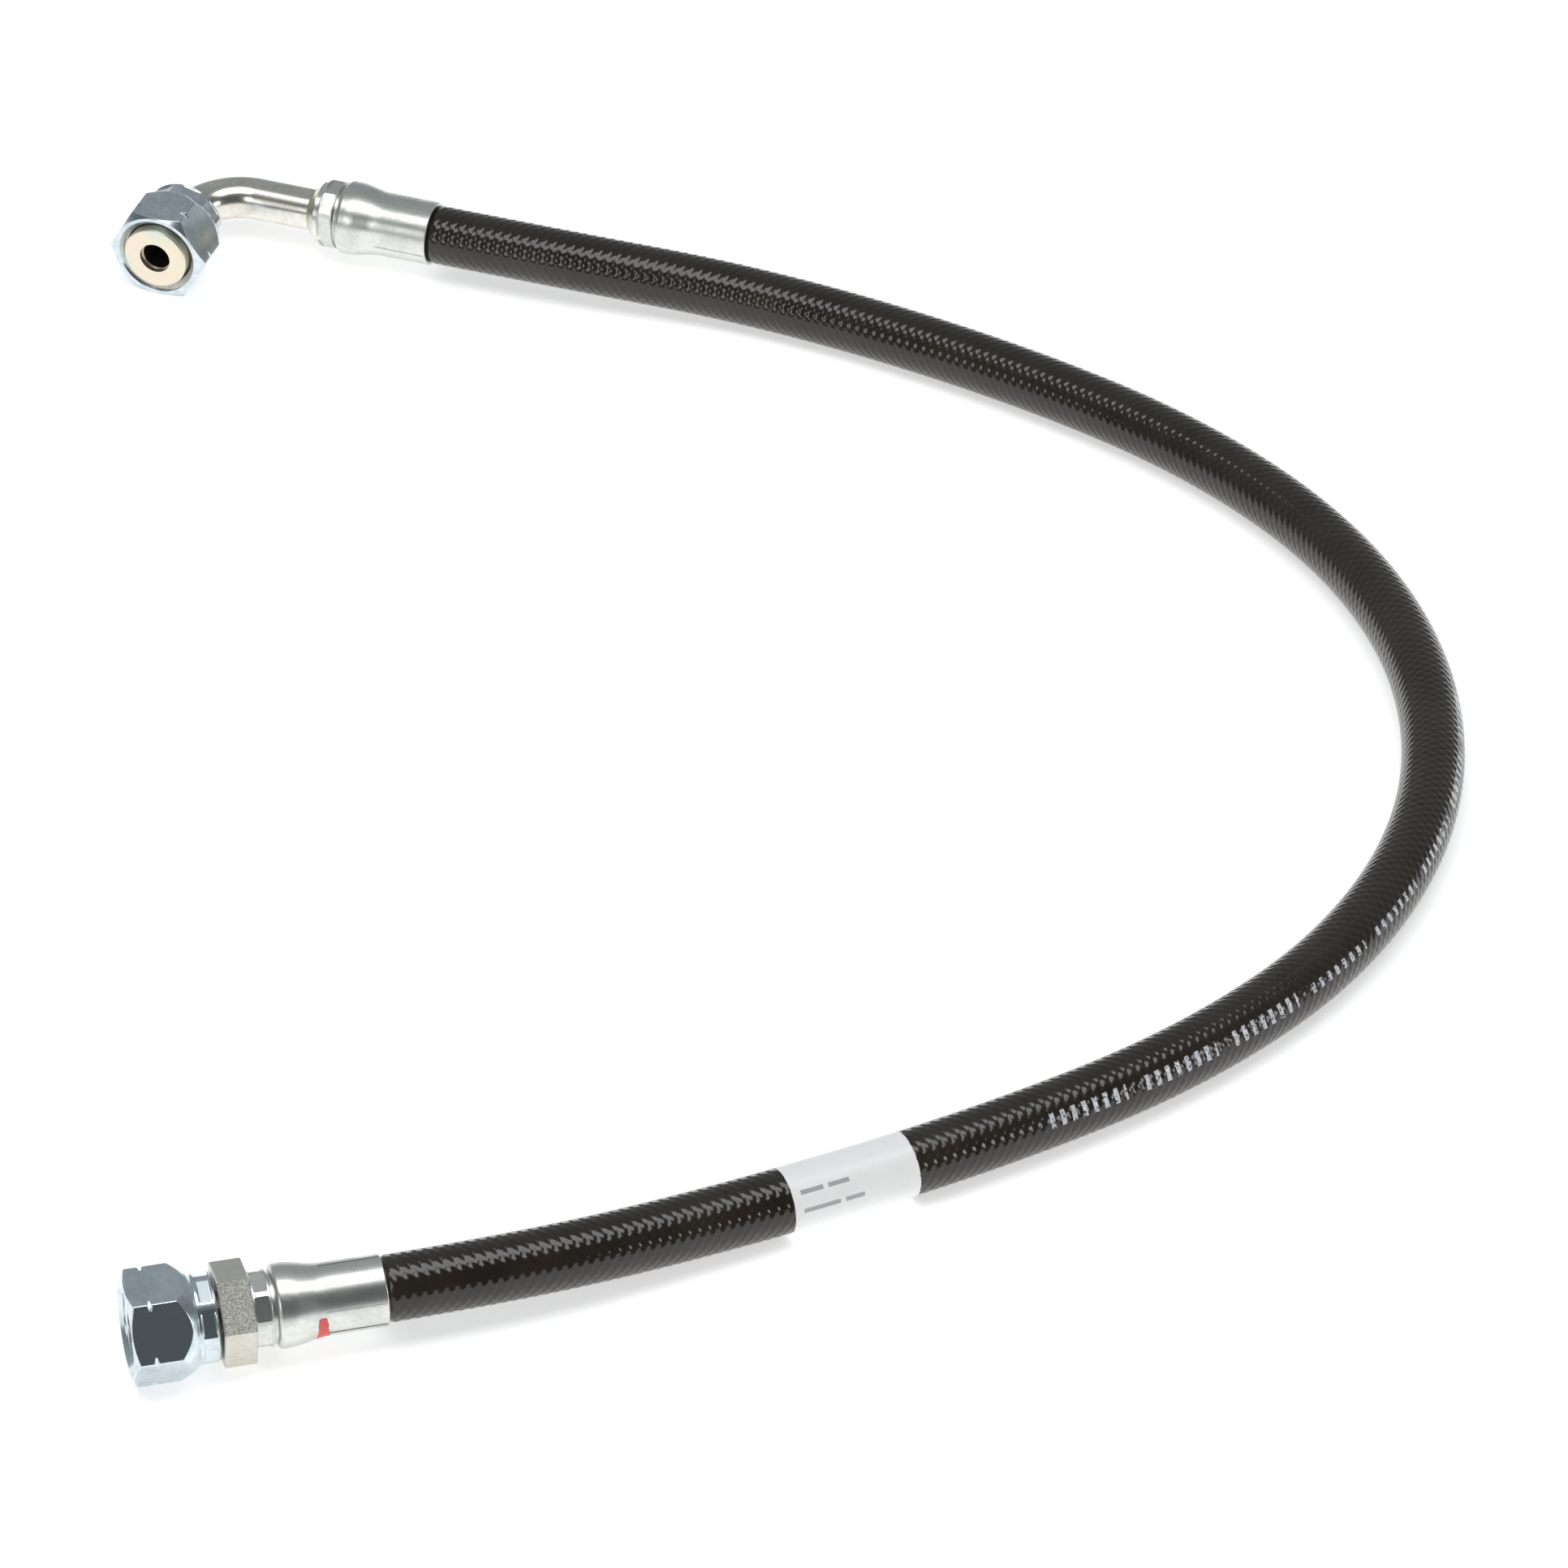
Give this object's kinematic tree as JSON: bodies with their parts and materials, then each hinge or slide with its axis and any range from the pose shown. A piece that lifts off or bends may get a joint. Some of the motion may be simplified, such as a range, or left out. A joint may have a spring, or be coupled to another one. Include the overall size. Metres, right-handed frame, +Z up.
{
  "type": "hydraulic hose assembly",
  "caption": "Flexible hydraulic hose with a straight swivel-nut fitting at the near end and a right-angle swivel elbow at the far end.",
  "frame": {"origin": "centre of the seal face of the straight end (end B)", "axes": "+X from that face along end B's axis into the hose; +Z up from the surface that the hose lies on; the elbow lies flat, its outlet square to end A's hose axis in the XY plane"},
  "size_m": [0.415, 0.5329, 0.027],
  "materials": {
    "nut_zinc": "bright zinc plate, blue passivation",
    "ferrule_zinc": "satin zinc plate",
    "tube_zinc": "satin zinc plate",
    "nipple_nickel": "warm grey plate, milled and lightly blasted",
    "sleeve_passivated": "zinc plate, faint yellow iridescence",
    "braze_metal": "dull braze under zinc plate",
    "cover_urethane": "glossy brown-black, braid showing through",
    "braid_fibre": "woven polyester yarn",
    "core_plastic": "smooth extruded",
    "label_film": "satin white film"
  },
  "bodies": {
    "hose": {"core_tube": "core_plastic", "inner_braid": "braid_fibre", "outer_braid": "braid_fibre", "cover": "cover_urethane", "label_sleeve": "label_film", "ferrule_a": "ferrule_zinc", "ferrule_b": "ferrule_zinc", "hose_nipple_a": "ferrule_zinc", "hose_nipple_b": "nipple_nickel", "elbow_tube_a": "tube_zinc", "seal_sleeve_a": "sleeve_passivated", "nipple_braze_a": "braze_metal", "sleeve_braze_a": "braze_metal"},
    "nut_a": {"swivel_nut_a": "nut_zinc"},
    "nut_b": {"swivel_nut_b": "nut_zinc"}
  },
  "joints": [
    {"name": "nut_a_spin", "type": "hinge", "parent": "hose", "child": "nut_a", "pos_m": [0.08295, 0.48371, 0], "axis": [-0.5444, -0.8389, 0], "continuous": true},
    {"name": "nut_b_spin", "type": "hinge", "parent": "hose", "child": "nut_b", "pos_m": [0, 0, 0], "axis": [-1, 0, 0], "continuous": true}
  ]
}
